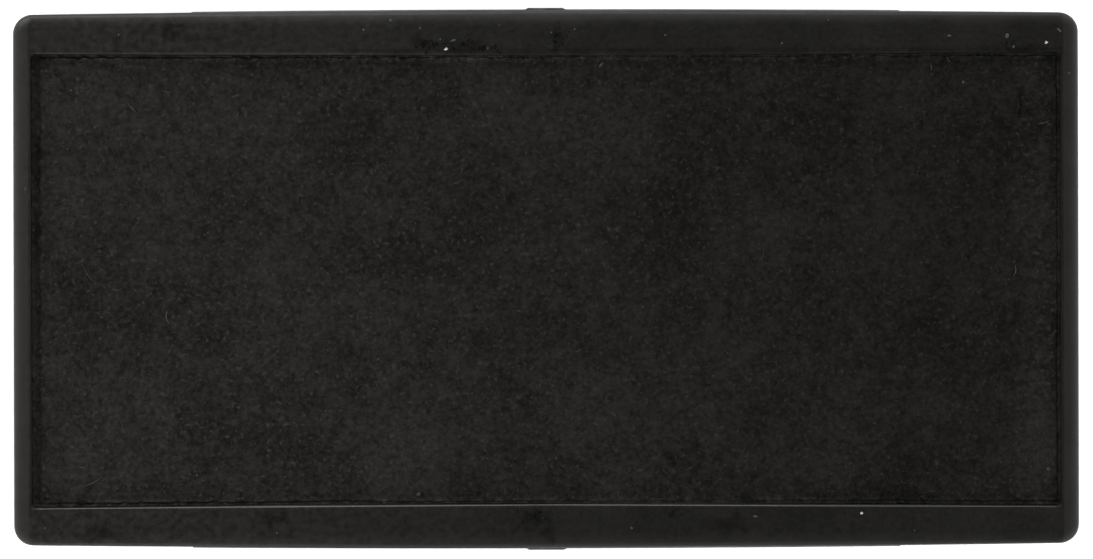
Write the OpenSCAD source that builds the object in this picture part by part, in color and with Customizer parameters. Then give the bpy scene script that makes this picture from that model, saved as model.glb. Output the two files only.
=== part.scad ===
// Ink pad cassette for a self-inking stamp. A moulded tray holds a thick reservoir felt,
// and on it lies the finer face felt that the stamp's text plate taps for its ink.
// Millimetres, +Z up. The origin is the centre of the resting plane, X runs along the pad
// and the long sides, which a finger pushes, face -Y (front) and +Y (back).

/* [Tray] */
// Overall length of the tray, along X
tray_length = 74; // [66:0.5:84]
// Width of the tray at its two ends, along Y
tray_width = 36.9; // [33:0.05:44]
// Height from the resting plane to the rim
tray_height = 7; // [6.4:0.1:9]
// Outward bow of each long side at mid-length
side_bow = 0.24; // [0:0.02:0.6]
// Radius of the tray's four corners, seen from above
corner_radius = 1.35; // [1.2:0.05:2]
// How far the rounded outer edge of the rim runs inward
edge_run = 1; // [0.3:0.05:1.1]
// How far the rounded outer edge of the rim drops
edge_drop = 0.5; // [0.2:0.05:0.8]
// Bevel around the resting edge
foot_bevel = 0.15; // [0.05:0.05:0.3]

/* [Window] */
// Mean width of the rim along the two long sides
side_rim = 2.7; // [2.5:0.025:4]
// Width of the rim along the two short ends
end_rim = 1.2; // [1.1:0.05:2]
// How far the window sits off centre towards the front
window_shift = 0.06; // [0:0.02:0.1]
// Inward bow of the front window edge at mid-length
front_bow = 0.2; // [0:0.02:0.22]
// Inward bow of the back window edge at mid-length
back_bow = 0.14; // [0:0.02:0.22]
// Rounding of the window's two long edges
window_edge = 0.2; // [0.1:0.05:0.35]
// Radius of the window's four corners, seen from above
window_corner = 0.35; // [0.2:0.05:0.8]

/* [Walls and floor] */
// Thickness of the outer wall along the long sides
fascia = 1; // [0.8:0.05:1.1]
// Thickness of the inner wall along the long sides
inner_wall = 0.9; // [0.7:0.05:0.95]
// Thickness of the rim above the hollow sides
rim_thickness = 1.2; // [1:0.1:2]
// Height of the ribs that the tray stands on
foot_height = 0.6; // [0.4:0.1:0.8]
// Thickness of the floor
floor_thickness = 1.2; // [1:0.1:1.4]
// Thickness of every stiffening rib
rib = 0.8; // [0.6:0.1:1.2]
// Hollow cells in each long side
side_cells = 8; // [4:1:12]

/* [Guides and grips] */
// Depth of the guide rebate along each short end
guide_depth = 0.7; // [0.3:0.05:0.8]
// Height of the guide rebate
guide_height = 1; // [0.6:0.1:1.1]
// Depth of the detent dimple in each short end
detent_depth = 0.35; // [0.2:0.05:0.5]
// Radius of the detent dimple's sphere
detent_radius = 1.5; // [1:0.1:1.8]
// Length of the grip land on each long side
grip_length = 49.2; // [30:0.2:56]
// How far the grip land stands proud
grip_reach = 0.06; // [0.04:0.02:0.2]
// Depth of the grooves in the grip land
groove_depth = 0.16; // [0.1:0.02:0.3]
// Width of the centre lug on each long side
lug_width = 2.6; // [1.5:0.1:4]
// How far the centre lug stands proud of the grip land
lug_reach = 0.1; // [0.05:0.05:0.3]
// How far each end of the centre lug slopes, along X
lug_slope = 0.4; // [0.1:0.05:0.6]

/* [Felts] */
// Clearance between the reservoir felt and the walls
felt_clearance = 0.5; // [0.4:0.05:0.8]
// Thickness of the face felt
face_thickness = 1.4; // [1:0.1:1.8]
// Mean gap between the face felt and the window's short ends
face_gap_x = 0.55; // [0.2:0.05:0.8]
// Mean gap between the face felt and the window's long edges
face_gap_y = 0.3; // [0.25:0.05:0.8]
// How far the face felt sits off centre towards +X
face_shift_x = 0.2; // [0:0.05:0.2]
// Depth of the face felt below the rim
face_recess = 0.6; // [0.3:0.1:1]
// Rounding of the face felt's upper edge
felt_edge = 0.3; // [0.2:0.05:0.6]

/* [Hidden] */

plastic_black = "#262628";
ink_black = "#1f1c1b";
pad_black = "#24221f";

$fn = 32;
corner_steps = 8;
side_steps = 16;
edge_steps = 6;
window_steps = 4;
felt_steps = 3;
past = 1; // how far a cutter reaches past the face that it opens

window_length = tray_length - 2 * end_rim;
window_width = tray_width - 2 * side_rim;
floor_top = foot_height + floor_thickness;

// Ink gutters between low ribs on the floor keep the reservoir felt fed from below
gutter_depth = 0.3;
gutter_ribs = 7;
gutter_pitch = window_width / (gutter_ribs + 1);
reservoir_base = floor_top + gutter_depth;
face_top = tray_height - face_recess;
face_base = face_top - face_thickness;

// Crush ribs on the pocket's walls centre the reservoir felt
crush_reach = 0.2;
crush_width = 0.6;
crush_per_side = 6;
crush_per_end = 3;

// Cells on the underside, around a blank panel in the middle
under_columns = 7;
under_rows = 3;
panel_columns = 1;
under_length = window_length - 2;
under_width = window_width - 1.2;

// Grip grooves, in two runs that stop short of the centre lug
grip_base = 1.3;
grip_height = tray_height - edge_drop - grip_base - 0.3;
grooves = 4;
groove_width = 0.5;
groove_margin = 0.9;

// The injection gate's nub, in a dimple in the middle of the blank panel
gate_dimple_radius = 2;
gate_dimple_depth = 0.4;
gate_nub_radius = 0.5;
gate_nub_height = 0.25;

// A quarter circle of points about [x, y], counter-clockwise from the angle start
function quarter(x, y, r, start) = [
    for (i = [0 : corner_steps])
        let (a = start + 90 * i / corner_steps)
            [x + r * cos(a), y + r * sin(a)]
];

// Offset of a long side from its ends' line at x, for a bow at mid-length
function bow_at(x, half, bow) = bow * (1 - pow(x / half, 2));

// Points between the ends of a long side, heading to +X or, with heading -1, to -X
function long_side(half, y, bow, heading, steps) = [
    for (i = [1 : 1 : steps - 1])
        let (x = heading * half * (2 * i / steps - 1))
            [x, y + bow_at(x, half, bow)]
];

// A rounded rectangle of points, with its front and back sides moved by a bow towards +Y
function outline(half_x, half_y, r, front, back, steps) = concat(
    quarter(half_x - r, r - half_y, r, -90),
    quarter(half_x - r, half_y - r, r, 0),
    long_side(half_x - r, half_y, back, -1, steps),
    quarter(r - half_x, half_y - r, r, 90),
    quarter(r - half_x, r - half_y, r, 180),
    long_side(half_x - r, -half_y, front, 1, steps)
);

// The tray's outline, moved inward all round
function tray_outline(inset) = outline(
    tray_length / 2 - inset, tray_width / 2 - inset, corner_radius - inset,
    -side_bow, side_bow, side_steps
);

// The window's outline, with its long edges moved outward
function window_outline(widened) = outline(
    window_length / 2, window_width / 2 + widened, window_corner,
    front_bow, -back_bow, side_steps
);

// A solid through a stack of outlines, each [height, points], from the lowest up
module stack(layers) {
    n = len(layers[0][1]);
    top = len(layers) - 1;
    polyhedron(
        points = [for (l = layers) for (p = l[1]) [p[0], p[1], l[0]]],
        faces = concat(
            [[for (i = [0 : n - 1]) i]],
            [[for (i = [n - 1 : -1 : 0]) top * n + i]],
            [
                for (k = [0 : top - 1])
                    for (i = [0 : n - 1])
                        let (j = (i + 1) % n)
                            [k * n + i, (k + 1) * n + i, (k + 1) * n + j, k * n + j]
            ]
        )
    );
}

// A box from its lowest and highest corners
module box(low, high) {
    translate(low)
        cube(high - low);
}

// Children and their mirror image across the XZ plane
module both_sides() {
    children();
    mirror([0, 1, 0])
        children();
}

// Children and their mirror image across the YZ plane
module both_ends() {
    children();
    mirror([1, 0, 0])
        children();
}

// The tray's outer form, solid, with its rounded upper edge
module blank() {
    stack(concat(
        [[0, tray_outline(foot_bevel)], [foot_bevel, tray_outline(0)]],
        [
            for (i = [0 : edge_steps])
                let (a = 90 * i / edge_steps)
                    [
                        tray_height - edge_drop * (1 - sin(a)),
                        tray_outline(edge_run * (1 - cos(a)))
                    ]
        ]
    ));
}

// A slice of the tray's outline grown outward, over a stretch of X and Z
module proud_band(reach, half_x, low, high) {
    intersection() {
        translate([0, 0, low])
            linear_extrude(high - low)
                polygon(tray_outline(-reach));
        box([-half_x, -tray_width, 0], [half_x, tray_width, tray_height]);
    }
}

module grip_lands() {
    proud_band(grip_reach, grip_length / 2, grip_base, grip_base + grip_height);
}

module centre_lugs() {
    land = tray_width / 2 + side_bow + grip_reach;
    margin = 0.05;
    wide = lug_width / 2 + lug_slope / 2;
    narrow = lug_width / 2 - lug_slope / 2;
    intersection() {
        proud_band(grip_reach + lug_reach, lug_width, grip_base, grip_base + grip_height);
        both_sides()
            translate([0, 0, grip_base - past])
                linear_extrude(grip_height + 2 * past)
                    polygon([
                        [-wide, past], [wide, past], [wide, land - margin],
                        [narrow, land + lug_reach + margin],
                        [-narrow, land + lug_reach + margin], [-wide, land - margin]
                    ]);
    }
}

module grip_grooves() {
    pitch = grip_height / grooves;
    difference() {
        both_ends()
            for (i = [0 : grooves - 1])
                box(
                    [
                        lug_width / 2 + groove_margin,
                        -tray_width,
                        grip_base + pitch * (i + 0.5) - groove_width / 2
                    ],
                    [
                        grip_length / 2 - groove_margin,
                        tray_width,
                        grip_base + pitch * (i + 0.5) + groove_width / 2
                    ]
                );
        linear_extrude(tray_height)
            polygon(tray_outline(groove_depth - grip_reach));
    }
}

// The space that holds the felts, open through the window
module pocket() {
    stack(concat(
        [[floor_top, window_outline(0)]],
        [
            for (i = [0 : window_steps])
                let (a = 90 * i / window_steps)
                    [
                        tray_height - window_edge * (1 - sin(a)),
                        window_outline(window_edge * (1 - cos(a)))
                    ]
        ],
        [[tray_height + past, window_outline(window_edge)]]
    ));
}

// Hollows in the long sides, open below, with a stiffening rib between each two
module side_hollows() {
    span = tray_length - 2 * (corner_radius + end_rim);
    pitch = span / side_cells;
    half = tray_length / 2 - corner_radius;
    for (i = [0 : side_cells - 1]) {
        low_x = -span / 2 + pitch * i + rib / 2;
        high_x = low_x + pitch - rib;
        bow = bow_at(max(abs(low_x), abs(high_x)), half, side_bow);
        both_sides()
            box(
                [low_x, window_width / 2 + inner_wall, -past],
                [high_x, tray_width / 2 - fascia + bow, tray_height - rim_thickness]
            );
    }
}

// Shallow cells on the underside, round the blank panel that stays level with the feet
module underside_cells() {
    pitch_x = under_length / under_columns;
    pitch_y = under_width / under_rows;
    middle_column = (under_columns - 1) / 2;
    middle_row = (under_rows - 1) / 2;
    for (column = [0 : under_columns - 1])
        for (row = [0 : under_rows - 1])
            if (row != middle_row || abs(column - middle_column) > panel_columns)
                translate([
                    (column - middle_column) * pitch_x,
                    (row - middle_row) * pitch_y,
                    (foot_height - past) / 2
                ])
                    cube([pitch_x - rib, pitch_y - rib, foot_height + past], center = true);
}

// The ledges by which the cassette slides into its stamp
module guide_rebates() {
    both_ends()
        box(
            [tray_length / 2 - guide_depth, -tray_width, -past],
            [tray_length / 2 + past, tray_width, guide_height]
        );
}

// The dimples that click onto the stamp's springs
module detents() {
    both_ends()
        translate([
            tray_length / 2 + detent_radius - detent_depth,
            0,
            (guide_height + tray_height - edge_drop) / 2
        ])
            sphere(detent_radius);
}

module gate_mark() {
    difference() {
        translate([0, 0, -past])
            cylinder(r = gate_dimple_radius, h = past + gate_dimple_depth);
        translate([0, 0, gate_dimple_depth - gate_nub_height])
            cylinder(r = gate_nub_radius, h = past);
    }
}

module gutter_ribs_on_floor() {
    for (i = [1 : gutter_ribs])
        translate([0, gutter_pitch * i - window_width / 2, reservoir_base - (gutter_depth + past) / 2])
            cube([window_length - 4, rib, gutter_depth + past], center = true);
}

// One upright crush rib on a wall at the origin, pointing to -Y
module crush_rib() {
    translate([0, 0, floor_top - gutter_depth])
        linear_extrude(face_base - floor_top)
            polygon([[-crush_width / 2, past / 2], [-crush_width / 2, 0], [0, -crush_reach],
                     [crush_width / 2, 0], [crush_width / 2, past / 2]]);
}

module crush_ribs() {
    side_pitch = window_length / crush_per_side;
    end_pitch = window_width / crush_per_end;
    half = window_length / 2 - window_corner;
    for (i = [0 : crush_per_side - 1]) {
        x = side_pitch * (i + 0.5) - window_length / 2;
        translate([x, window_width / 2 - bow_at(x, half, back_bow), 0])
            crush_rib();
        translate([x, bow_at(x, half, front_bow) - window_width / 2, 0])
            rotate(180)
                crush_rib();
    }
    for (i = [0 : crush_per_end - 1])
        both_ends()
            translate([window_length / 2, end_pitch * (i + 0.5) - window_width / 2, 0])
                rotate(-90)
                    crush_rib();
}

module tray() {
    color(plastic_black)
        difference() {
            union() {
                difference() {
                    union() {
                        blank();
                        grip_lands();
                        centre_lugs();
                    }
                    translate([0, -window_shift, 0])
                        pocket();
                }
                gutter_ribs_on_floor();
                translate([0, -window_shift, 0])
                    crush_ribs();
            }
            grip_grooves();
            side_hollows();
            underside_cells();
            guide_rebates();
            detents();
            gate_mark();
        }
}

// The thick felt that stores the ink, square-cut with slightly eased corners
module reservoir_felt() {
    points = outline(
        window_length / 2 - felt_clearance, window_width / 2 - felt_clearance,
        window_corner, 0, 0, 1
    );
    color(ink_black)
        translate([0, 0, reservoir_base])
            linear_extrude(face_base - reservoir_base)
                polygon(points);
}

// The finer felt on top, flat on both faces, whose upper edge is worn round
module face_felt() {
    half_x = window_length / 2 - face_gap_x;
    half_y = window_width / 2 - face_gap_y;
    rounding = [
        for (i = [0 : felt_steps])
            let (a = 90 * i / felt_steps, inset = felt_edge * (1 - cos(a)))
                [
                    face_top - felt_edge * (1 - sin(a)),
                    outline(half_x - inset, half_y - inset, 2 * felt_edge - inset, 0, 0, 1)
                ]
    ];
    color(pad_black)
        translate([face_shift_x, 0, 0])
            intersection() {
                stack(concat(
                    [[face_base - past, rounding[0][1]]],
                    rounding,
                    [[face_top + past, rounding[felt_steps][1]]]
                ));
                box([-half_x - past, -half_y - past, face_base],
                    [half_x + past, half_y + past, face_top]);
            }
}

tray();
reservoir_felt();
face_felt();
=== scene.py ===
"""Looks of an ink pad cassette: a satin black tray, smeared with ink, round an inked felt.

Lengths in the tables below are in millimetres; mesh code turns them into metres.
"""

import math

import bmesh
import bpy
import numpy as np
from mathutils import Matrix, Vector
from mathutils.bvhtree import BVHTree


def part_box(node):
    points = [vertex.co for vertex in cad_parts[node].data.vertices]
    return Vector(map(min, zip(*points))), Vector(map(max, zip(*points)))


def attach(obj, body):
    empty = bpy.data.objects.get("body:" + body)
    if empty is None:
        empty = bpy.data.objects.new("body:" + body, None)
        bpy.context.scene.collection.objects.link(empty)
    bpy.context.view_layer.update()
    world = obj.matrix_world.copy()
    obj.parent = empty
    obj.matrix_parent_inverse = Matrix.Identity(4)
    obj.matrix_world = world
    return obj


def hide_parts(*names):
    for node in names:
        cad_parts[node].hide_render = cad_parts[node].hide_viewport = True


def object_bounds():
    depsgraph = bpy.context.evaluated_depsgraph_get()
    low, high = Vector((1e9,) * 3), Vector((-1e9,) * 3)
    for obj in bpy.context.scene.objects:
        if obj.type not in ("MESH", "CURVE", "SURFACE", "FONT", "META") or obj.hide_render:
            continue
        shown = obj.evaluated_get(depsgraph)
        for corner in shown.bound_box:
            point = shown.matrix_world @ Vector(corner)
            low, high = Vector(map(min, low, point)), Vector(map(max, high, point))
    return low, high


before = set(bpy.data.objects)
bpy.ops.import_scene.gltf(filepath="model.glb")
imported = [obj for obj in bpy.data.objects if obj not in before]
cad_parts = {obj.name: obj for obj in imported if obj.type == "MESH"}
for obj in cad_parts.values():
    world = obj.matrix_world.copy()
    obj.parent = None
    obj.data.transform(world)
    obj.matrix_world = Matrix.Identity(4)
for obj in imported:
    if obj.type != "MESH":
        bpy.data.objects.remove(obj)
cad_low, cad_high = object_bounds()

MM = 0.001
RIM_TOP = cad_high.z / MM

# The view straight down: what it takes in at the rim's height, and its slight misalignment
VIEW_WIDTH = 75.79
VIEW_CENTRE = (0.035, -0.045)
VIEW_ROLL = 0.14
LENS = 120.0
SENSOR = 36.0

# Ink that has run along the back window edge begins here and goes on to the right
SEEP_START = -15.6
# Ink smears on the rim: centre x, centre y, half-length, half-width
SMEARS = [
    (-8.4, 16.3, 1.3, 0.8),
    (-5.6, 16.1, 1.8, 0.8),
    (0.9, 16.8, 0.8, 1.3),
    (-25.8, 17.4, 1.2, 0.6),
    (-0.9, -16.7, 1.7, 1.0),
    (0.1, -17.7, 0.7, 0.8),
    (9.1, -16.0, 0.6, 0.5),
    (12.5, -17.0, 2.2, 0.9),
    (33.0, 15.9, 2.4, 0.5),
    (-31.0, -17.6, 1.4, 0.7),
    (-19.0, -16.6, 1.6, 0.6),
]
# Dried ink on the rim: centre x, centre y, spread along x, spread along y, grains
CRUSTS = [
    (-7.9, 16.2, 0.6, 0.22, 34),
    (-5.0, 16.2, 0.9, 0.22, 46),
    (0.8, 16.7, 0.35, 0.4, 26),
    (9.1, -16.38, 0.25, 0.09, 8),
    (-0.7, -16.6, 0.7, 0.35, 22),
    (32.2, 16.3, 0.3, 0.25, 12),
]
# Pale dust on the rim: x, y, width, how long it is for its width, heading in degrees
PALE_SPECKS = [
    (-6.9, 15.95, 0.14, 1.7, 5), (34.72, 16.3, 0.17, 1.0, 0), (21.85, -16.3, 0.12, 1.0, 0),
]
# Greyer dust on the rim
GREY_SPECKS = [
    (-10.75, 17.95, 0.15, 1.4, 40), (19.6, 17.9, 0.12, 1.2, 0), (0.42, 17.1, 0.12, 1.2, 80),
    (-8.7, 17.4, 0.11, 1.3, 60), (-6.4, 16.55, 0.16, 2.2, 25), (-4.0, 16.0, 0.12, 1.4, 80),
    (-3.2, 17.6, 0.1, 1.2, 10), (2.0, 17.3, 0.14, 1.2, 70), (-7.3, 16.6, 0.1, 1.5, 30),
    (32.0, 16.77, 0.26, 1.2, 70), (32.48, 16.02, 0.16, 1.2, 0), (35.6, 17.2, 0.17, 2.1, -55),
    (36.3, 14.18, 0.15, 1.2, 60), (28.0, 16.8, 0.16, 1.6, 0), (16.4, 16.3, 0.12, 1.2, 0),
    (5.9, -17.3, 0.12, 1.1, 0), (-18.7, -17.6, 0.14, 1.2, 0), (25.5, -17.5, 0.1, 1.0, 0),
    (-34.8, -17.2, 0.12, 1.2, 30), (-36.1, 6.3, 0.12, 1.4, 80), (-12.6, 17.3, 0.13, 1.6, 20),
    (14.5, -16.5, 0.2, 1.1, 0), (-29.6, 17.0, 0.12, 1.3, 70), (8.3, 16.9, 0.14, 1.3, 0),
]
# Dust caught on the felt
FELT_SPECKS = [
    (-8.9, -15.0, 0.2, 1.4, 20), (-24.3, -13.6, 0.14, 1.2, 60), (29.05, 13.6, 0.16, 1.2, 30),
    (34.9, -13.3, 0.16, 1.3, 0), (3.9, 14.9, 0.18, 1.9, 35), (-33.0, 13.2, 0.12, 1.2, 0),
]
# Lint on the felt: x, y, length, heading in degrees, curl in degrees, radius
LINT = [
    (-26.35, -2.6, 1.0, 100, -70, 0.05),
    (-28.8, 12.0, 1.0, -52, 25, 0.03),
    (-31.9, 0.5, 1.8, -60, 30, 0.02),
    (-31.6, -14.1, 1.7, 25, 25, 0.03),
    (32.6, 0.5, 0.9, 80, 70, 0.035),
    (34.65, 10.8, 0.9, 15, 30, 0.03),
    (26.8, 14.66, 0.5, 95, 20, 0.035),
    (28.0, 15.2, 0.7, -60, 60, 0.03),
    (15.0, 1.5, 1.0, 60, 60, 0.016),
    (-12.5, 3.6, 0.8, 110, 60, 0.016),
    (8.2, -13.4, 0.5, -50, 30, 0.018),
    (8.4, -14.1, 0.4, -70, 30, 0.016),
    (9.9, -13.2, 0.6, 35, 40, 0.018),
    (9.6, -12.3, 0.45, -15, 30, 0.016),
]
# Dents in the felt: x, y, half-length, half-width, heading in degrees, depth
DENTS = [
    (8.6, -12.5, 0.9, 0.24, -60, 0.22),
    (10.2, -13.6, 1.0, 0.28, 62, 0.18),
    (9.9, -12.0, 0.7, 0.2, 5, 0.12),
    (33.0, 12.0, 1.2, 0.16, 88, 0.2),
    (20.4, -4.0, 1.5, 0.2, 80, 0.07),
    (-33.2, -9.0, 1.2, 0.3, 70, 0.08),
]
DEEPEST_DENT = max(dent[-1] for dent in DENTS)

# Random hills: knots a side of their lattice, and where on it the origin lies
LATTICE = 128
LATTICE_ORIGIN = (640.37, 640.71)
# Relief of the felts: height, size and seed of each layer of hills
FACE_RELIEF = [(0.05, 14.0, 11), (0.03, 4.5, 12), (0.02, 1.1, 13), (0.022, 0.45, 14), (0.016, 0.3, 15)]
RESERVOIR_RELIEF = [(0.03, 0.9, 31), (0.02, 0.4, 32)]
# How far the relief's mean level lies below the CAD felts' upper faces
FACE_SINK, RESERVOIR_SINK = 0.03, 0.06
# How far in from a felt's cut margin its points wander
WANDER_REACH = 1.5
# Gap to the wall over which a felt's shelf drops in full, and the least share that it drops
FULL_SHELF, LEAST_SHELF = 0.8, 0.12
# Height between the rings of a felt's side; height and size of the hills that roughen them
SIDE_STEP = 0.3
SIDE_ROUGHNESS, SIDE_GRAIN = 0.05, 0.35
# How far the fibres' middles and their ends stay inside the felt's margin
FIBRE_INSET, FIBRE_END_INSET = 0.25, 0.05
# Usual curl of a fibre in radians, how deep it lies for its radius, and how radii vary
FIBRE_CURL, FIBRE_SINK = 0.7, 0.35
FIBRE_RADII = (0.7, 1.3)
# Fibres in each of the three pieces of felt_fibres, and loose ones
FIBRES, LOOSE_FIBRES = 5000, 450
# Points along each piece of lint, and how high its middle arches
LINT_STEPS = 14
LINT_ARCH = 0.08
# Finest dust: how many grains, and how far from the middle they lie along x and y
FINE_DUST = 340
DUST_REACH = (36.6, 18.2)
# Grains lie on the rim no lower than this below its top, and this far inside the felt's margin
RIM_DROP = 0.35
DUST_INSET = 0.1
# Height in metres from which the pad's surface is looked for
PROBE_HEIGHT = 0.02
# Widths of the grains of the finest dust and of dried ink, and their lengths over their widths
DUST_WIDTHS, CRUST_WIDTHS = (0.025, 0.06), (0.06, 0.2)
GRAIN_LENGTHS = (1, 2)
# Height of a grain over its width, how its proportions vary, and how deep its dents are
GRAIN_FLATNESS = 0.45
GRAIN_STRETCHES = (0.8, 1.2)
GRAIN_DENTS = 0.3

# The tray's mesh: corners this near are joined, faces that turn by less than the flat angle
# become one, edges over the sharp angle are broken, and edges under the smooth angle are
# shaded smooth; the angles are in degrees
WELD = 0.0005
FLAT_ANGLE = 0.3
SHARP_ANGLE = 32
EDGE_BREAK = 0.06
SMOOTH_ANGLE = 40

# The window's end walls at x, its front and back edges at their ends, and their inward bows
WINDOW_END = 35.79
WINDOW_FRONT, WINDOW_BACK = -15.80, 15.68
FRONT_BOW, BACK_BOW = 0.2, 0.14
# Where wear, ink and painted light fade in, or in and out again, as distances from the pad's middle
SEEP_BAND = (15.5, 15.6, 15.8, 16.2)
SEEP_STOP = (35.3, 35.8)
WIPED_BAND = (15.4, 15.55, 15.9, 16.1)
WIPED_STOP = (35.5, 35.8)
CORNER_BAND_X = (35.2, 35.45, 35.86, 35.96)
CORNER_BAND_Y = (15.3, 15.5, 15.95, 16.1)
END_RIM_LIGHT_SPAN = (35.84, 35.96)
WALL_X, WALL_Y = (35.82, 35.84), (15.8, 16.0)
LUG_FACE = (18.70, 18.74)
# Heights at which the window's wall ends and a lug's upper edge begins
WALL_TOP = (6.82, 6.9)
LUG_EDGE = (6.08, 6.14)

# Albedos of the plastic: its body, haze of handling, painted light on the end rims and walls, pale lug
# edges that are scuffs and a painted highlight, and ink
TRAY_DARK = (0.0029, 0.0028, 0.0025)
TRAY_LIGHT = (0.0055, 0.0053, 0.0049)
TRAY_HAZE = (0.0103, 0.0099, 0.0091)
TRAY_PAINTED_LIGHT = (0.0130, 0.0125, 0.0117)
TRAY_SCUFF_AND_HIGHLIGHT = (0.080, 0.078, 0.073)
TRAY_INK = (0.0014, 0.0013, 0.0012)
# How far smears and ink that has run cover the plastic's colour
SMEAR_COVER, SEEP_COVER = 0.55, 0.12
# Specular level of the clean plastic, the share of it left under ink, and how far smears and
# inked corners count as ink
TRAY_SHINE = 0.19
INKED_SHINE = 0.25
SMEAR_DULLING, CORNER_DULLING = 0.5, 0.85
# How much shinier and how much less rough a polished edge is
POLISH_SHINE, POLISH_SMOOTHNESS = 0.63, 0.08
# Darkest and lightest albedo of everything else; a felt has a third, of its flecks
FACE_TONES = ((0.0020, 0.00187, 0.00173), (0.0085, 0.0081, 0.0075), (0.0125, 0.0119, 0.011))
RESERVOIR_TONES = ((0.0020, 0.0019, 0.0018), (0.0065, 0.0061, 0.0057), (0.012, 0.0114, 0.0106))
FIBRE_TONES = ((0.0026, 0.0025, 0.0023), (0.0098, 0.0093, 0.0086))
LOOSE_FIBRE_TONES = ((0.006, 0.0057, 0.0053), (0.017, 0.0162, 0.015))
CRUST_TONES = ((0.0018, 0.0017, 0.0016), (0.008, 0.0077, 0.0074))
PALE_DUST_TONES = ((0.12, 0.118, 0.114), (0.36, 0.355, 0.345))
GREY_DUST_TONES = ((0.012, 0.0118, 0.0115), (0.036, 0.0355, 0.035))
FELT_DUST_TONES = ((0.012, 0.0117, 0.0114), (0.038, 0.037, 0.036))
FINE_DUST_TONES = ((0.008, 0.0078, 0.0076), (0.03, 0.029, 0.028))
LINT_TONES = ((0.010, 0.0097, 0.0093), (0.030, 0.029, 0.028))
FLOOR_TONES = ((0.86, 0.86, 0.86), (0.9, 0.9, 0.9))

# Half the floor's side, in metres
FLOOR_HALF = 1.2
# Lamps, in metres: name, place, size, watts, and whether the plastic mirrors it
LAMPS = [
    ("key_light", (-0.35, 0.75, 0.5), (1.1, 0.6), 9.0, True),
    ("front_left_light", (-0.65, -0.62, 0.55), (0.7, 0.7), 10.0, False),
    ("front_right_light", (0.65, -0.62, 0.55), (0.7, 0.7), 10.0, False),
    ("back_right_light", (0.66, 0.62, 0.55), (0.6, 0.6), 8.6, False),
]
# How the surroundings' brightness (To) changes with height on a unit sphere (From)
SKY_RAMP = {"From Min": 0.25, "From Max": 0.9, "To Min": 1.9, "To Max": 0.1}


# ---------------------------------------------------------------- numbers


def waves(x, y, size, seed):
    """Smooth random hills between -1 and 1, about size apart."""
    lattice = np.random.default_rng(seed).uniform(-1.0, 1.0, (LATTICE, LATTICE))
    u, v = np.asarray(x) / size + LATTICE_ORIGIN[0], np.asarray(y) / size + LATTICE_ORIGIN[1]
    i, j = np.floor(u).astype(int), np.floor(v).astype(int)
    s, t = u - i, v - j
    s, t = s * s * (3 - 2 * s), t * t * (3 - 2 * t)
    i, j, i2, j2 = i % LATTICE, j % LATTICE, (i + 1) % LATTICE, (j + 1) % LATTICE
    low = lattice[i, j] * (1 - s) + lattice[i2, j] * s
    high = lattice[i, j2] * (1 - s) + lattice[i2, j2] * s
    return low * (1 - t) + high * t


def hills(x, y, layers):
    """Layers of random hills on top of each other; each layer is a height, a size and a seed."""
    return sum(height * waves(x, y, size, seed) for height, size, seed in layers)


def dent_depth(x, y):
    """How far the felt is pressed down at each place by its dents."""
    depth = np.zeros_like(np.asarray(x, float))
    for cx, cy, long, wide, heading, deep in DENTS:
        a = math.radians(heading)
        u = (x - cx) * math.cos(a) + (y - cy) * math.sin(a)
        v = (y - cy) * math.cos(a) - (x - cx) * math.sin(a)
        depth = depth + deep * np.exp(-((u / long) ** 2) - (v / wide) ** 2)
    return depth


def face_relief(x, y):
    """Height of the face felt's upper surface over the CAD felt's."""
    return hills(x, y, FACE_RELIEF) - dent_depth(x, y) - FACE_SINK


def reservoir_relief(x, y):
    """Height of the reservoir felt's upper surface over the CAD felt's."""
    return hills(x, y, RESERVOIR_RELIEF) - RESERVOIR_SINK


# ---------------------------------------------------------------- meshes


def finish_piece(name, mesh, material):
    """The object of a mesh, shaded smooth and riding on the only body."""
    mesh.shade_smooth()
    mesh.materials.clear()
    mesh.materials.append(material)
    piece = bpy.data.objects.new(name, mesh)
    bpy.context.scene.collection.objects.link(piece)
    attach(piece, "root")
    return piece


def add_piece(name, points, faces, material):
    """A piece from points in millimetres."""
    mesh = bpy.data.meshes.new(name)
    points = np.asarray(points, float) * MM
    mesh.from_pydata(points.tolist(), [], [list(map(int, f)) for f in faces])
    mesh.validate()
    return finish_piece(name, mesh, material)


def side_profile(shelf, depth, edge):
    """How far out (0 at the top's margin, 1 at the foot) and down each ring of a felt's side is.

    The top bends over by edge, slopes to the shelf, curls up at the wall and follows it down.
    """
    turns = np.linspace(0, math.pi / 2, 5)[1:]
    bend = [(0.25 * math.sin(a), edge * (1 - math.cos(a))) for a in turns]
    slope = [(0.4, 0.5 * (edge + shelf)), (0.6, 0.9 * shelf), (0.8, 0.95 * shelf)]
    curl = [(1.0, 0.7 * shelf)]
    steps = max(3, round((depth - shelf) / SIDE_STEP))
    wall = [(1.0, shelf + (depth - shelf) * k / steps) for k in range(1, steps + 1)]
    return bend + slope + curl + wall


def grid_faces(count_x, count_y):
    """The quads of a grid of points, and the indices along its margin."""
    index = np.arange(count_x * count_y).reshape(count_x, count_y)
    margin = np.concatenate([index[:-1, 0], index[-1, :-1], index[:0:-1, -1], index[0, :0:-1]])
    low_left, low_right = index[:-1, :-1].ravel(), index[1:, :-1].ravel()
    high_right, high_left = index[1:, 1:].ravel(), index[:-1, 1:].ravel()
    return np.stack([low_left, low_right, high_right, high_left], 1), margin


def wandered(x, y, bounds, seed):
    """Places near the margin moved in and out at random, as in a cut felt."""
    x0, y0, x1, y1 = bounds
    inset = np.minimum(np.minimum(x - x0, x1 - x), np.minimum(y - y0, y1 - y))
    near = np.clip(1 - inset / WANDER_REACH, 0, 1)
    wander = hills(x, y, [(0.05, 2.6, seed), (0.04, 0.6, seed + 1)])
    return x + wander * near * np.sign(x), y + wander * near * np.sign(y)


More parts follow.
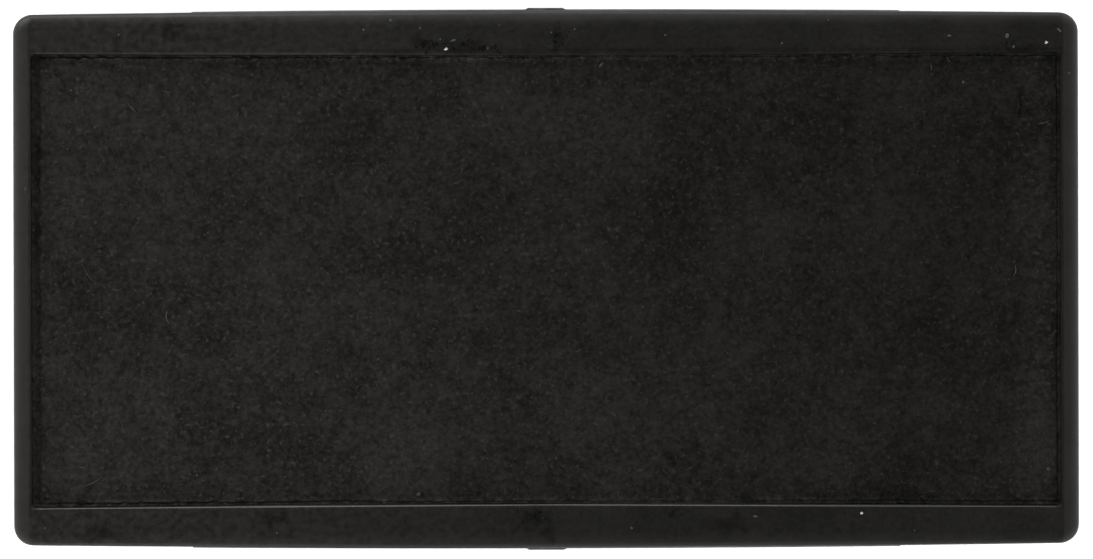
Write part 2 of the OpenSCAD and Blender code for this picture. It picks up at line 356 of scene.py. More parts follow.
def foot_line(x, y, inner, outer, bows):
    """Where places on the margin of inner come down on outer, whose long sides bow inward."""
    (x0, y0, x1, y1), (u0, v0, u1, v1), (bow0, bow1) = inner, outer, bows
    foot_x = np.interp(x, [x0, x1], [u0, u1])
    bowed = 1 - (foot_x / u1) ** 2
    share = np.interp(y, [y0, y1], [0, 1])
    return foot_x, (1 - share) * (v0 + bow0 * bowed) + share * (v1 - bow1 * bowed)


def felt_slab(inner, outer, bows, heights, spacing, edge, shelf, relief, seed):
    """Points and faces of a felt: a rough top over inner, a side down to outer, a flat base."""
    x0, y0, x1, y1 = inner
    base, top = heights
    count_x, count_y = round((x1 - x0) / spacing) + 1, round((y1 - y0) / spacing) + 1
    across, up = np.linspace(x0, x1, count_x), np.linspace(y0, y1, count_y)
    flat_x, flat_y = (axis.ravel() for axis in np.meshgrid(across, up, indexing="ij"))
    quads, margin = grid_faces(count_x, count_y)
    top_x, top_y = wandered(flat_x, flat_y, inner, seed)
    level = relief(top_x, top_y)
    points, faces = [np.stack([top_x, top_y, top + level], 1)], [quads]
    head_x, head_y, head_level = top_x[margin], top_y[margin], level[margin]
    foot_x, foot_y = foot_line(flat_x[margin], flat_y[margin], inner, outer, bows)
    ease = np.clip(np.hypot(foot_x - head_x, foot_y - head_y) / FULL_SHELF, LEAST_SHELF, 1.0)
    along = np.arange(len(margin)) * spacing
    previous, start = margin, len(flat_x)
    for out, down in side_profile(shelf, top - base, edge):
        drop = down * ease if down <= shelf else down
        rough = waves(along, np.full_like(along, 3 * down), SIDE_GRAIN, seed + 2) * ease
        rise = (head_level + SIDE_ROUGHNESS * rough) * (1 - down / (top - base))
        ring_x, ring_y = head_x + (foot_x - head_x) * out, head_y + (foot_y - head_y) * out
        points.append(np.stack([ring_x, ring_y, top - drop + rise], 1))
        this = start + np.arange(len(margin))
        start += len(margin)
        faces.append(np.stack([previous, this, np.roll(this, -1), np.roll(previous, -1)], 1))
        previous = this
    loops = [face for group in faces for face in group.tolist()]
    return np.concatenate(points), loops + [previous[::-1].tolist()]


def tubes(paths, radii, sides):
    """Closed tubes along many paths at once: paths is (count, steps, 3), radii is (count, steps)."""
    count, steps, _ = paths.shape
    along = np.gradient(paths, axis=1)
    along /= np.linalg.norm(along, axis=2, keepdims=True) + 1e-12
    across = np.cross(along, np.array([0.0, 0.0, 1.0]))
    across /= np.linalg.norm(across, axis=2, keepdims=True) + 1e-12
    over = np.cross(across, along)
    turns = 2 * math.pi * np.arange(sides) / sides
    cosines, sines = np.cos(turns)[:, None], np.sin(turns)[:, None]
    outward = cosines * across[:, :, None] + sines * over[:, :, None]
    points = (paths[:, :, None] + radii[:, :, None, None] * outward).reshape(-1, 3)
    base = (np.arange(count) * steps * sides)[:, None, None]
    ring = (np.arange(steps - 1) * sides)[None, :, None]
    side = np.arange(sides)[None, None, :]
    after = (side + 1) % sides
    low, high = base + ring, base + ring + sides
    walls = np.stack([low + side, high + side, high + after, low + after], -1).reshape(-1, 4)
    start = base[:, 0] + np.arange(sides)[None]
    end = base[:, 0] + (steps - 1) * sides + np.arange(sides)[::-1][None]
    return points, walls.tolist() + start.tolist() + end.tolist()


def tapered(reach, least):
    """Share of a fibre's radius from one end, where reach is -0.5, to the other, where it is 0.5."""
    return np.sqrt(np.clip(1 - (2 * reach) ** 2, least, 1))


def strands(count, low, high, length, radius, lift, seed, steps):
    """Short curved fibres that lie on the felt: their paths and radii."""
    rng = np.random.default_rng(seed)
    x = rng.uniform(low.x + FIBRE_INSET, high.x - FIBRE_INSET, count)
    y = rng.uniform(low.y + FIBRE_INSET, high.y - FIBRE_INSET, count)
    heading = rng.uniform(0, 2 * math.pi, count)
    curl = rng.normal(0, FIBRE_CURL, count)
    size = rng.uniform(*length, count)
    paths = np.zeros((count, steps, 3))
    reach = np.linspace(-0.5, 0.5, steps)
    for k, t in enumerate(reach):
        angle = heading + curl * t
        paths[:, k, 0] = x + size * t * np.cos(angle)
        paths[:, k, 1] = y + size * t * np.sin(angle)
    for axis in (0, 1):
        ends = low[axis] + FIBRE_END_INSET, high[axis] - FIBRE_END_INSET
        paths[:, :, axis] = np.clip(paths[:, :, axis], *ends)
    raised = rng.uniform(0, 1, count)[:, None] ** 2 * lift * np.cos(math.pi * reach)[None]
    ground = high.z + face_relief(paths[:, :, 0], paths[:, :, 1])
    paths[:, :, 2] = ground + raised - radius * FIBRE_SINK
    radii = radius * rng.uniform(*FIBRE_RADII, count)[:, None] * tapered(reach, 0.12)[None]
    return paths, radii


def grains(places, sizes, seed):
    """Closed dented grains: places are (x, y, z); sizes are (width, length over width, heading)."""
    rng = np.random.default_rng(seed)
    ball = bmesh.new()
    bmesh.ops.create_icosphere(ball, subdivisions=2, radius=0.5)
    ball.verts.ensure_lookup_table()
    shape = np.array([v.co for v in ball.verts])
    tris = np.array([[v.index for v in f.verts] for f in ball.faces])
    ball.free()
    points, faces = [], []
    for place, (width, long, heading) in zip(places, sizes):
        stretch = rng.uniform(*GRAIN_STRETCHES, 3) * (long, 1, GRAIN_FLATNESS)
        ripples = np.sin(shape @ rng.normal(0, 5, (3, 2)) + rng.uniform(0, 6, 2))
        bumps = 1 + GRAIN_DENTS * ripples.sum(1)
        spin = np.array(Matrix.Rotation(math.radians(heading), 3, "Z"))
        body = (shape * bumps[:, None] * stretch * width) @ spin.T
        faces.extend((tris + len(points) * len(shape)).tolist())
        points.append(body + place)
    return np.concatenate(points), faces


# ---------------------------------------------------------------- materials


class Paint:
    """A material being made: each call adds nodes and returns their result."""

    def __init__(self, name):
        self.material = bpy.data.materials.new(name)
        self.material.use_nodes = True
        self.tree = self.material.node_tree
        self.shader = self.tree.nodes["Principled BSDF"]
        self.place = self.add("ShaderNodeTexCoord").outputs["Object"]
        self.warped = None

    def add(self, kind, settings=(), **inputs):
        """A node; where the name of an input has a space, the keyword has an underscore."""
        made = self.tree.nodes.new(kind)
        for key, value in dict(settings).items():
            setattr(made, key, value)
        for key, value in inputs.items():
            self.feed(made.inputs[key.replace("_", " ")], value)
        return made

    def feed(self, socket, value):
        """Links an input to another node's result, or sets it to a value."""
        if isinstance(value, bpy.types.NodeSocket):
            self.tree.links.new(value, socket)
        else:
            socket.default_value = value

    def set(self, **values):
        """Feeds the shader, and returns the finished material."""
        for key, value in values.items():
            self.feed(self.shader.inputs[key.replace("_", " ")], value)
        return self.material

    def maths(self, operation, *values, clamp=False):
        """One operation on numbers or other nodes' results."""
        made = self.add("ShaderNodeMath", {"operation": operation, "use_clamp": clamp})
        for socket, value in zip(made.inputs, values):
            self.feed(socket, value)
        return made.outputs[0]

    def product(self, total, *others):
        """Values multiplied with each other, from the first to the last."""
        for other in others:
            total = self.maths("MULTIPLY", total, other)
        return total

    def weighted(self, *pairs):
        """The sum of values, each times its weight."""
        total, *others = [self.product(value, weight) for value, weight in pairs]
        for other in others:
            total = self.maths("ADD", total, other)
        return total

    def vector_maths(self, operation, vector):
        return self.add("ShaderNodeVectorMath", {"operation": operation}, Vector=vector)

    def axes(self):
        """The three coordinates of a place, in metres."""
        split = self.add("ShaderNodeSeparateXYZ", Vector=self.place)
        return tuple(split.outputs[axis] for axis in "XYZ")

    def spread(self, value, low, high, to_low=0.0, to_high=1.0):
        """Goes smoothly from to_low to to_high as the value goes from low to high."""
        made = self.add("ShaderNodeMapRange", {"interpolation_type": "SMOOTHSTEP"})
        names = ("Value", "From Min", "From Max", "To Min", "To Max")
        for name, number in zip(names, (value, low, high, to_low, to_high)):
            self.feed(made.inputs[name], number)
        return made.outputs["Result"]

    def fade(self, distance, span, start=0.0, end=1.0):
        """Goes smoothly from start to end over a span in millimetres."""
        return self.spread(distance, span[0] * MM, span[1] * MM, start, end)

    def band(self, distance, fades):
        """1 within a band, 0 beyond it; fades are where it fades in and where out again."""
        return self.product(self.fade(distance, fades[:2]), self.fade(distance, fades[2:], 1.0, 0.0))

    def noise(self, size_mm, detail=2.0, stretch=(1, 1, 1), rough=0.55, shift=0.0):
        """Noise from 0 to 1 whose features are about size_mm apart."""
        scale = tuple(s / (size_mm * MM) for s in stretch)
        moved = self.add("ShaderNodeMapping", Vector=self.place, Scale=scale, Location=(shift,) * 3)
        made = self.add(
            "ShaderNodeTexNoise", Vector=moved.outputs[0], Scale=1.0, Detail=detail, Roughness=rough
        )
        return made.outputs["Fac"]

    def uneven(self, size_mm, low, high, **noise):
        """Noise whose middle range is spread from low to high."""
        return self.spread(self.noise(size_mm, **noise), 0.3, 0.7, low, high)

    def blend(self, factor, first, second):
        """The first colour where the factor is 0, the second where it is 1."""
        made = self.add("ShaderNodeMix", {"data_type": "RGBA"})
        self.feed(made.inputs["Factor"], factor)
        for name, colour in (("A", first), ("B", second)):
            socket = next(s for s in made.inputs if s.name == name and s.type == "RGBA")
            self.feed(socket, colour if isinstance(colour, bpy.types.NodeSocket) else (*colour, 1.0))
        return next(s for s in made.outputs if s.type == "RGBA")

    def scaled(self, colour, factor):
        """A colour, or any vector, times a number."""
        made = self.vector_maths("SCALE", colour)
        self.feed(made.inputs["Scale"], factor)
        return made.outputs[0]

    def bump(self, height, strength, depth_mm, normal=None):
        """The normal of a surface raised by height, on top of an earlier bump's normal."""
        made = self.add("ShaderNodeBump", Strength=strength, Distance=depth_mm * MM, Height=height)
        if normal is not None:
            self.feed(made.inputs["Normal"], normal)
        return made.outputs["Normal"]

    def warp(self, size_mm, amount_mm):
        """Pushes places about at random, so that what is drawn with them gets ragged edges."""
        scale = (1 / (size_mm * MM),) * 3
        moved = self.add("ShaderNodeMapping", Vector=self.place, Scale=scale)
        made = self.add("ShaderNodeTexNoise", Vector=moved.outputs[0], Scale=1.0, Detail=4.0)
        centred = self.vector_maths("SUBTRACT", made.outputs["Color"])
        centred.inputs[1].default_value = (0.5, 0.5, 0.5)
        total = self.vector_maths("ADD", self.scaled(centred.outputs[0], amount_mm * MM))
        self.feed(total.inputs[1], self.place)
        self.warped = total.outputs[0]

    def smear(self, x, y, half_x, half_y):
        """1 in the middle of a ragged smear of the given size, 0 outside it."""
        moved = self.add(
            "ShaderNodeMapping",
            Vector=self.warped,
            Location=(-x / half_x, -y / half_y, 0.0),
            Scale=(1 / (half_x * MM), 1 / (half_y * MM), 0.0),
        )
        away = self.vector_maths("LENGTH", moved.outputs[0])
        return self.spread(away.outputs["Value"], 0.1, 1.3, 1.0, 0.0)

    def dent(self, x, y, half_long, half_wide, heading, deep):
        """The depth over the deepest dent's in the middle of a ragged dent, 0 outside it."""
        moved = self.add(
            "ShaderNodeMapping",
            {"vector_type": "TEXTURE"},
            Vector=self.warped,
            Location=(x * MM, y * MM, 0.0),
            Rotation=(0.0, 0.0, math.radians(heading)),
            Scale=(half_long * MM, half_wide * MM, 1.0),
        )
        away = self.vector_maths("LENGTH", moved.outputs[0])
        return self.spread(away.outputs["Value"], 0.2, 1.4, deep / DEEPEST_DENT, 0.0)

    def any_of(self, masks):
        """The highest of several masks."""
        highest = 0.0
        for mask in masks:
            highest = self.maths("MAXIMUM", highest, mask)
        return highest


def smear_mask(paint):
    """Where ink has been smeared on the plastic, 0 to 1, with ragged edges."""
    paint.warp(0.9, 2.6)
    mask = paint.any_of(paint.smear(*smear) for smear in SMEARS)
    ragged = paint.noise(0.5, detail=5.0, rough=0.65, shift=3.0)
    smears = paint.spread(paint.product(mask, ragged), 0.08, 0.6)
    film = paint.spread(paint.noise(2.4, detail=6.0, rough=0.7, shift=9.0), 0.56, 0.8, 0.0, 0.55)
    return paint.maths("MAXIMUM", smears, film)


def seep_mask(paint):
    """Where ink has run along the back window edge and dulls it, 0 to 1."""
    x, y, _ = paint.axes()
    right = paint.fade(x, (SEEP_START, SEEP_START + 2.5))
    stopped = paint.fade(x, SEEP_STOP, 1.0, 0.0)
    patchy = paint.spread(paint.noise(1.6, detail=3.0, shift=12.0), 0.3, 0.6, 0.55, 1.0)
    return paint.product(right, paint.band(y, SEEP_BAND), stopped, patchy)


def worn_edge_mask(paint):
    """Where the window's long edges are polished by wiping: in full in front, in places behind."""
    x, y, _ = paint.axes()
    edges = paint.band(paint.maths("ABSOLUTE", y), WIPED_BAND)
    stopped = paint.fade(paint.maths("ABSOLUTE", x), WIPED_STOP, 1.0, 0.0)
    front = paint.fade(y, (-1, 1), 1.0, 0.0)
    patchy = paint.spread(paint.noise(4.0, detail=3.0, shift=15.0), 0.38, 0.62, -0.6, 1.0)
    return paint.product(edges, stopped, paint.maths("MAXIMUM", front, patchy))


def corner_mask(paint):
    """The window's four corners, where ink lodges and dulls the edge, 0 to 1."""
    x, y, _ = paint.axes()
    along = paint.band(paint.maths("ABSOLUTE", x), CORNER_BAND_X)
    return paint.product(along, paint.band(paint.maths("ABSOLUTE", y), CORNER_BAND_Y))


def painted_rim_light_mask(paint):
    """Where the end rims, more so the left one, and the window's walls are painted paler as painted
    light, 0 to 1.
    """
    x, y, z = paint.axes()
    from_middle_x, from_middle_y = (paint.maths("ABSOLUTE", axis) for axis in (x, y))
    ends = paint.fade(from_middle_x, END_RIM_LIGHT_SPAN)
    share = paint.fade(x, (-10, 10), 0.74, 0.42)
    uneven = paint.spread(paint.noise(1.2, detail=4.0, shift=17.0), 0.25, 0.75, 0.75, 1.1)
    rims = paint.product(ends, share, uneven)
    inner_x = paint.fade(from_middle_x, WALL_X, 1.0, 0.0)
    inner_y = paint.fade(from_middle_y, WALL_Y, 1.0, 0.0)
    walls = paint.product(inner_x, inner_y, 0.9, paint.fade(z, WALL_TOP, 1.0, 0.0))
    return paint.maths("MAXIMUM", rims, walls, clamp=True)


def scuff_and_highlight_mask(paint):
    """Where the centre lugs' upper edges are paler, partly scuffed by fingers and partly a painted
    highlight of the light they catch, 0 to 1.
    """
    _, y, z = paint.axes()
    lug = paint.fade(paint.maths("ABSOLUTE", y), LUG_FACE)
    uneven = paint.uneven(0.6, 0.5, 1.0, detail=3.0, shift=19.0)
    return paint.product(lug, paint.fade(z, LUG_EDGE), uneven)


def tray_colour(paint, smears, seep):
    """Uneven black, hazed by handling, with the haze heavier on the left as painted light, paler end
    rims and walls as painted light, inked places and pale lug edges.
    """
    # Painted light: the haze is made heavier towards the left
    painted_left_light = paint.fade(paint.axes()[0], (-34, 14), 1.15, 0.15)
    broad = paint.noise(6.0, detail=4.0)
    fine = paint.noise(0.5, detail=5.0, rough=0.65, shift=5.0)
    scuffs = paint.noise(0.32, detail=3.0, rough=0.6, shift=21.0)
    mottled = paint.weighted((broad, 0.45), (scuffs, 0.55))
    colour = paint.blend(paint.spread(mottled, 0.36, 0.64), TRAY_DARK, TRAY_LIGHT)
    haze = paint.product(paint.spread(fine, 0.3, 0.75), painted_left_light)
    colour = paint.blend(haze, colour, TRAY_HAZE)
    # Painted light: the end rims and the window's walls are made paler
    colour = paint.blend(painted_rim_light_mask(paint), colour, TRAY_PAINTED_LIGHT)
    colour = paint.blend(paint.product(smears, SMEAR_COVER), colour, TRAY_INK)
    colour = paint.blend(paint.product(seep, SEEP_COVER), colour, TRAY_INK)
    # Pale lug edges: scuffs and a painted highlight
    return paint.blend(scuff_and_highlight_mask(paint), colour, TRAY_SCUFF_AND_HIGHLIGHT)


def tray_shine(paint, smears, seep, worn):
    """Specular level: higher where the edge is polished, lower under ink.

    The last step multiplies a constant, because an export keeps only that constant.
    """
    covered = paint.maths("MAXIMUM", paint.product(smears, SMEAR_DULLING), seep)
    corners = paint.product(corner_mask(paint), CORNER_DULLING)
    covered = paint.maths("MAXIMUM", covered, corners)
    polished = paint.maths("MULTIPLY_ADD", worn, POLISH_SHINE, 1.0)
    dulled = paint.spread(covered, 0.0, 1.0, 1.0, INKED_SHINE)
    return paint.product(TRAY_SHINE, paint.product(polished, dulled))


def tray_normal(paint):
    """Fine grain, a slight ripple and rubs that run along the tray."""
    rubs = paint.noise(0.1, detail=2.0, stretch=(0.05, 1, 1), shift=4.0)
    ripple = paint.noise(1.6, detail=2.0, shift=7.0)
    normal = paint.bump(paint.noise(0.14, detail=2.0), strength=0.3, depth_mm=0.006)
    normal = paint.bump(ripple, strength=0.4, depth_mm=0.012, normal=normal)
    return paint.bump(paint.spread(rubs, 0.62, 0.8), strength=0.2, depth_mm=0.005, normal=normal)


def tray_plastic():
    """Satin black moulded plastic with ink smears, handling marks and a fine grain."""
    paint = Paint("tray_plastic")
    smears, seep, worn = smear_mask(paint), seep_mask(paint), worn_edge_mask(paint)
    satin = paint.spread(paint.noise(1.6, detail=5.0, shift=2.0), 0.25, 0.75, 0.31, 0.40)
    return paint.set(
        Base_Color=tray_colour(paint, smears, seep),
        Roughness=paint.maths("SUBTRACT", satin, paint.product(worn, POLISH_SMOOTHNESS)),
        Normal=tray_normal(paint),
        Specular_IOR_Level=tray_shine(paint, smears, seep, worn),
    )


def painted_falloff_and_paleness(paint):
    """How pale the felt's colour is made: paler towards -X as painted light falling off from the left,
    also paler at the right end and a little at the front.
    """
    x, y, _ = paint.axes()
    along = paint.fade(x, (-40, 40), 1.48, 0.78)
    end = paint.fade(x, (31, 36), 1.0, 1.6)
    front = paint.fade(y, (-12, 5), 1.09, 1.0)
    return paint.product(along, paint.product(end, front))


def painted_margin_light(paint):
    """Painted light: how much paler the felt's colour is made where it meets the window's walls,
    lifting the shade that falls there.
    """
    x, y, _ = paint.axes()
    along = paint.product(x, 1 / (WINDOW_END * MM))
    bowed = paint.maths("SUBTRACT", 1.0, paint.product(along, along))
    front = paint.maths("SUBTRACT", y, WINDOW_FRONT * MM)
    front = paint.maths("SUBTRACT", front, paint.product(bowed, FRONT_BOW * MM))
    back = paint.maths("SUBTRACT", WINDOW_BACK * MM, y)
    back = paint.maths("SUBTRACT", back, paint.product(bowed, BACK_BOW * MM))
    long_sides = paint.fade(paint.maths("MINIMUM", front, back), (0.12, 0.6), 2.3, 1.0)
    right = paint.fade(paint.maths("SUBTRACT", WINDOW_END * MM, x), (0.12, 0.6), 1.5, 1.0)
    left = paint.fade(paint.maths("ADD", WINDOW_END * MM, x), (0.0, 0.2), 2.2, 1.0)
    return paint.maths("MAXIMUM", long_sides, paint.maths("MAXIMUM", right, left))


def dent_mask(paint):
    """Where the felt is dented, with ragged edges, 0 to 1."""
    paint.warp(0.5, 0.9)
    return paint.any_of(paint.dent(*dent) for dent in DENTS)


def inked_felt(name, tones, coarse):
    """Felt full of black ink: matt, mottled and flecked; coarse scales its fibres."""
    dark, light, fleck = tones
    paint = Paint(name)
    blotch = paint.noise(7.0, detail=4.0)
    tuft = paint.noise(0.95 * coarse, detail=4.0, rough=0.6, shift=2.0)
    hair = paint.noise(0.34 * coarse, detail=4.0, rough=0.7, shift=4.0)
    mottled = paint.weighted((blotch, 0.27), (tuft, 0.25), (hair, 0.48))
    colour = paint.blend(paint.spread(mottled, 0.36, 0.66), dark, light)
    nubs = paint.spread(paint.noise(0.3 * coarse, detail=2.0, shift=6.0), 0.58, 0.72, 0.0, 0.8)
    colour = paint.blend(nubs, colour, fleck)
    # Darker in the dents: painted shade, and ink pooled there
    pressed = paint.spread(dent_mask(paint), 0.0, 1.0, 1.0, 0.6)
    # The felt's colour is scaled by painted light, paler towards -X and near the window's walls, and
    # darkened in the dents
    shade = paint.product(painted_falloff_and_paleness(paint), painted_margin_light(paint), pressed)
    damp = paint.spread(paint.noise(5.0, detail=3.0, shift=8.0), 0.35, 0.7, 0.78, 0.95)
    fuzz = paint.noise(0.09 * coarse, detail=2.0, shift=6.0)
    normal = paint.bump(hair, strength=0.8, depth_mm=0.07 * coarse)
    normal = paint.bump(fuzz, strength=0.4, depth_mm=0.015, normal=normal)
    return paint.set(
        Base_Color=paint.scaled(colour, shade), Roughness=damp, Normal=normal, Specular_IOR_Level=0.04
    )


def inked_fibre(name, tones):
    """Single fibres, each a little lighter or darker than its neighbours."""
    paint = Paint(name)
    shade = paint.spread(paint.noise(0.5, detail=3.0, rough=0.7), 0.32, 0.68)
    # Painted light: fibres are paler towards -X, as the felt is
    colour = paint.scaled(paint.blend(shade, *tones), painted_falloff_and_paleness(paint))
    roughness = paint.uneven(1.1, 0.7, 0.95, shift=3.0)
    normal = paint.bump(paint.noise(0.05), strength=0.3, depth_mm=0.01)
    return paint.set(Base_Color=colour, Roughness=roughness, Normal=normal, Specular_IOR_Level=0.05)


def dried_ink():
    """Crusted ink, as dark as the plastic, with a little sheen."""
    paint = Paint("dried_ink")
    colour = paint.blend(paint.spread(paint.noise(0.3, detail=3.0), 0.4, 0.75), *CRUST_TONES)
    roughness = paint.uneven(0.2, 0.5, 0.8, shift=3.0)
    normal = paint.bump(paint.noise(0.06, detail=3.0), strength=0.6, depth_mm=0.02)
    return paint.set(Base_Color=colour, Roughness=roughness, Normal=normal, Specular_IOR_Level=0.03)


def dust(name, tones):
    """Dry dust and lint: pale, matt, uneven."""
    paint = Paint(name)
    colour = paint.blend(paint.noise(0.12, detail=3.0), *tones)
    roughness = paint.uneven(0.1, 0.8, 1.0, shift=3.0)
    normal = paint.bump(paint.noise(0.04, detail=3.0), strength=0.6, depth_mm=0.02)
    return paint.set(Base_Color=colour, Roughness=roughness, Normal=normal, Specular_IOR_Level=0.2)


# ---------------------------------------------------------------- the pieces


def make_tray(material):
    """The moulded tray, from its CAD shape, with its sharp edges broken as a mould leaves them."""
    shape = bmesh.new()
    shape.from_mesh(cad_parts["tray"].data)
    bmesh.ops.remove_doubles(shape, verts=shape.verts, dist=WELD * MM)
    bmesh.ops.dissolve_limit(
        shape, angle_limit=math.radians(FLAT_ANGLE), verts=shape.verts, edges=shape.edges
    )
    turn = math.radians(SHARP_ANGLE)
    sharp = [e for e in shape.edges if e.is_manifold and e.calc_face_angle() > turn]
    bmesh.ops.bevel(
        shape, geom=sharp, offset=EDGE_BREAK * MM, segments=2, profile=0.5,
        affect="EDGES", clamp_overlap=True,
    )
    bmesh.ops.recalc_face_normals(shape, faces=shape.faces)
    mesh = bpy.data.meshes.new("tray_moulding")
    shape.to_mesh(mesh)
    shape.free()
    piece = finish_piece("tray_moulding", mesh, material)
    mesh.set_sharp_from_angle(angle=math.radians(SMOOTH_ANGLE))
    weighted = piece.modifiers.new("even_shading", "WEIGHTED_NORMAL")
    weighted.keep_sharp = True
    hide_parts("tray")


def grown(low, high, by):
    """The rectangle of a box, seen from above, moved outward by a distance."""
    return low.x - by, low.y - by, high.x + by, high.y + by


def make_face_felt(material):
    """The felt that is tapped; its sides spread to the window's walls, as pressed-in felt does."""
    low, high = (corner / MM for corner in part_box("face_felt"))
    points, faces = felt_slab(
        inner=grown(low, high, -0.08),
        outer=(-WINDOW_END, WINDOW_FRONT, WINDOW_END, WINDOW_BACK),
        bows=(FRONT_BOW, BACK_BOW),
        heights=(low.z, high.z),
        spacing=0.17, edge=0.035, shelf=0.13, relief=face_relief, seed=21,
    )
    piece = add_piece("pad_face", points, faces, material)
    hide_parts("face_felt")


def make_reservoir_felt(material):
    """The coarser felt below, which shows only where the upper one doesn't hide it."""
    low, high = (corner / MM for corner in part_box("reservoir_felt"))
    points, faces = felt_slab(
        inner=grown(low, high, -0.3),
        outer=grown(low, high, 0.0),
        bows=(0, 0),
        heights=(low.z, high.z),
        spacing=0.35, edge=0.15, shelf=0.25, relief=reservoir_relief, seed=33,
    )
    piece = add_piece("pad_reservoir", points, faces, material)
    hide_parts("reservoir_felt")


def make_fibres(material, loose_material):
    """Fibres that lie in the felt, in three pieces, and some loose ones that stand up a little."""
    low, high = (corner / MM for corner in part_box("face_felt"))
    for part in range(3):
        paths, radii = strands(
            FIBRES, low, high, length=(0.3, 1.1), radius=0.018, lift=0.012, seed=41 + part, steps=4
        )
        points, faces = tubes(paths, radii, sides=4)
        add_piece(f"felt_fibres_{part + 1}", points, faces, material)
    paths, radii = strands(
        LOOSE_FIBRES, low, high, length=(0.25, 0.7), radius=0.017, lift=0.03, seed=51, steps=6
    )
    points, faces = tubes(paths, radii, sides=4)
    add_piece("felt_fibres_loose", points, faces, loose_material)


def tray_surface():
    """A tree for looking up how high the tray's uppermost face is."""
    shape = bmesh.new()
    shape.from_mesh(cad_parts["tray"].data)
    tree = BVHTree.FromBMesh(shape)
    shape.free()
    return tree


def surface_level(tree, x, y):
    """Height of the rim or the felt at a place, or None over the gap between them."""
    above = Vector((x * MM, y * MM, PROBE_HEIGHT))
    hit = tree.ray_cast(above, Vector((0, 0, -1)))[0]
    if hit is not None and hit.z / MM > RIM_TOP - RIM_DROP:
        return hit.z / MM
    low, high = (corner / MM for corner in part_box("face_felt"))
    x_inside = low.x + DUST_INSET < x < high.x - DUST_INSET
    y_inside = low.y + DUST_INSET < y < high.y - DUST_INSET
    if x_inside and y_inside:
        return high.z + float(face_relief(np.array(x), np.array(y)))
    return None


def add_grains(name, listed, material, seed, raised):
    """Grains on whatever lies under them; each of listed is x, y, width, length, heading.

    Their middles are raised above it by this share of their width.
    """
    tree = tray_surface()
    places, sizes = [], []
    for x, y, width, long, heading in listed:
        level = surface_level(tree, x, y)
        if level is not None:
            places.append((x, y, level + raised * width))
            sizes.append((width, long, heading))
    points, faces = grains(places, sizes, seed)
    add_piece(name, points, faces, material)


def make_specks(pale, grey, felt_grey):
    """The larger specks of dust, each where the photo shows one."""
    add_grains("dust_pale", PALE_SPECKS, pale, seed=61, raised=0.1)
    add_grains("dust_grey", GREY_SPECKS, grey, seed=62, raised=0.1)
    add_grains("dust_on_felt", FELT_SPECKS, felt_grey, seed=63, raised=0.1)


def make_fine_dust(material):
    """The finest dust, scattered over all of the pad."""
    rng = np.random.default_rng(67)
    reach_x, reach_y = DUST_REACH
    listed = [
        (
            rng.uniform(-reach_x, reach_x), rng.uniform(-reach_y, reach_y),
            rng.uniform(*DUST_WIDTHS), rng.uniform(*GRAIN_LENGTHS), rng.uniform(0, 180),
        )
        for _ in range(FINE_DUST)
    ]
    add_grains("dust_fine", listed, material, seed=68, raised=0.0)


def make_crusts(material):
    """Clusters of dried ink on the rim."""
    rng = np.random.default_rng(71)
    listed = [
        (
            x + rng.normal(0, spread_x), y + rng.normal(0, spread_y),
            rng.uniform(*CRUST_WIDTHS), rng.uniform(*GRAIN_LENGTHS), rng.uniform(0, 180),
        )
        for x, y, spread_x, spread_y, count in CRUSTS
        for _ in range(count)
    ]
    add_grains("dried_ink_crust", listed, material, seed=72, raised=0.0)


def make_lint(material):
    """Curled hairs that lie on the felt."""
    felt_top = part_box("face_felt")[1].z / MM
    paths, radii = [], []
    reach = np.linspace(-0.5, 0.5, LINT_STEPS)
    for x, y, length, heading, curl, radius in LINT:
        angle = math.radians(heading) + math.radians(curl) * reach
        step = length / LINT_STEPS
        px = x + np.cumsum(np.cos(angle)) * step
        py = y + np.cumsum(np.sin(angle)) * step
        px, py = px - px.mean() + x, py - py.mean() + y
        pz = felt_top + face_relief(px, py) + radius + LINT_ARCH * np.cos(math.pi * reach)
        paths.append(np.stack([px, py, pz], 1))
        radii.append(radius * tapered(reach, 0.15))
    points, faces = tubes(np.array(paths), np.array(radii), sides=6)
    add_piece("lint", points, faces, material)


# ---------------------------------------------------------------- the studio


def make_floor():
    """The white paper under the pad."""
    paint = Paint("studio_floor")
    colour = paint.blend(paint.noise(60.0, detail=2.0), *FLOOR_TONES)
    material = paint.set(Base_Color=colour, Roughness=0.9, Specular_IOR_Level=0.1)
    mesh = bpy.data.meshes.new("studio_floor")
    corners = [
        (x * FLOOR_HALF, y * FLOOR_HALF, 0) for x, y in ((-1, -1), (1, -1), (1, 1), (-1, 1))
    ]
    mesh.from_pydata(corners, [], [(0, 1, 2, 3)])
    mesh.materials.append(material)
    floor = bpy.data.objects.new("studio_floor", mesh)
    bpy.context.scene.collection.objects.link(floor)


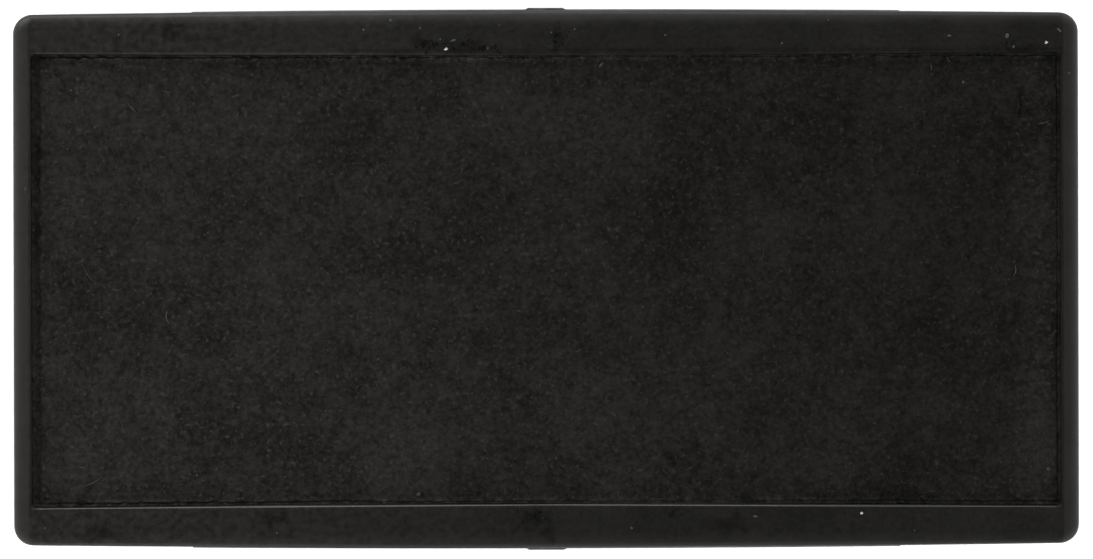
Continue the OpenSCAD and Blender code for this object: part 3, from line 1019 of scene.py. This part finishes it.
def make_world():
    """Even studio surroundings, bright low down and dimmer overhead."""
    world = bpy.data.worlds.new("studio")
    world.use_nodes = True
    tree = world.node_tree
    background = tree.nodes["Background"]
    place = tree.nodes.new("ShaderNodeTexCoord").outputs["Generated"]
    split = tree.nodes.new("ShaderNodeSeparateXYZ")
    ramp = tree.nodes.new("ShaderNodeMapRange")
    for name, value in SKY_RAMP.items():
        ramp.inputs[name].default_value = value
    tree.links.new(place, split.inputs[0])
    tree.links.new(split.outputs["Z"], ramp.inputs["Value"])
    tree.links.new(ramp.outputs["Result"], background.inputs["Strength"])
    background.inputs["Color"].default_value = (1.0, 1.0, 1.0, 1.0)
    bpy.context.scene.world = world


def make_lamp(name, place, size, watts, mirrored):
    """A softbox that faces the pad; one that isn't mirrored only lifts the matt tones."""
    light = bpy.data.lights.new(name, "AREA")
    light.shape = "RECTANGLE"
    light.size, light.size_y = size
    light.energy = watts
    lamp = bpy.data.objects.new(name, light)
    lamp.location = place
    lamp.rotation_euler = (-Vector(place)).to_track_quat("-Z", "Y").to_euler()
    lamp.visible_camera = False
    lamp.visible_glossy = mirrored
    bpy.context.scene.collection.objects.link(lamp)


def make_camera():
    """Straight above the pad, level with its long sides but for a slight roll."""
    data = bpy.data.cameras.new("camera")
    data.lens, data.sensor_width = LENS, SENSOR
    data.clip_start, data.clip_end = 0.01, 10.0
    camera = bpy.data.objects.new("camera", data)
    distance = VIEW_WIDTH * LENS / SENSOR
    camera.location = Vector((*VIEW_CENTRE, RIM_TOP + distance)) * MM
    camera.rotation_euler = (0.0, 0.0, math.radians(-VIEW_ROLL))
    bpy.context.scene.collection.objects.link(camera)
    bpy.context.scene.camera = camera


make_camera()
make_world()
make_floor()
for lamp in LAMPS:
    make_lamp(*lamp)
bpy.context.scene.view_settings.view_transform = "Standard"

make_tray(tray_plastic())
make_face_felt(inked_felt("face_felt", FACE_TONES, coarse=1.0))
make_reservoir_felt(inked_felt("reservoir_felt", RESERVOIR_TONES, coarse=2.2))
make_fibres(
    inked_fibre("felt_fibre", FIBRE_TONES), inked_fibre("felt_fibre_loose", LOOSE_FIBRE_TONES)
)
make_crusts(dried_ink())
make_specks(
    dust("dust_pale", PALE_DUST_TONES),
    dust("dust_grey", GREY_DUST_TONES),
    dust("dust_on_felt", FELT_DUST_TONES),
)
make_fine_dust(dust("dust_fine", FINE_DUST_TONES))
make_lint(dust("lint", LINT_TONES))
